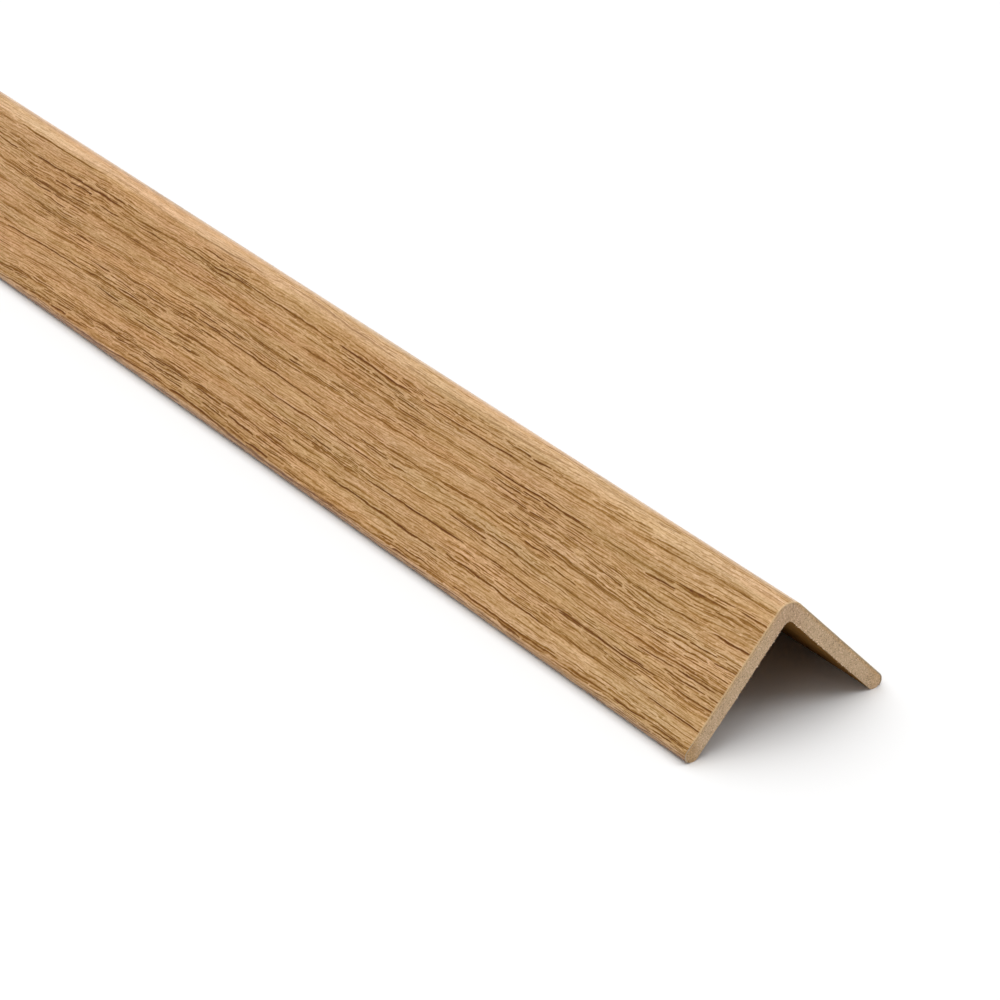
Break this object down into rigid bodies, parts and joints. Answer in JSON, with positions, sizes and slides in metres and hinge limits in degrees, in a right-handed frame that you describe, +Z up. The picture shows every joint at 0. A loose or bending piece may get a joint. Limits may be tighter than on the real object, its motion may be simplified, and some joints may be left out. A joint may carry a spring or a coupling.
{
  "type": "corner guard moulding",
  "caption": "L-section corner guard moulding, a fibreboard core wrapped outside in oak-grain foil, with round leg edges and square-cut ends, glued over an outside wall corner.",
  "frame": {"origin": "on the ground under the middle of the moulding, which lies on its two leg edges with the corner up", "axes": "+X along the length, +Y across the legs, +Z up towards the outer corner"},
  "size_m": [1.2, 0.0392, 0.0219],
  "materials": {
    "fibreboard": "matte",
    "oak_foil": "matte"
  },
  "bodies": {
    "root": {"fibreboard_core": "fibreboard", "oak_foil": "oak_foil"}
  },
  "joints": []
}
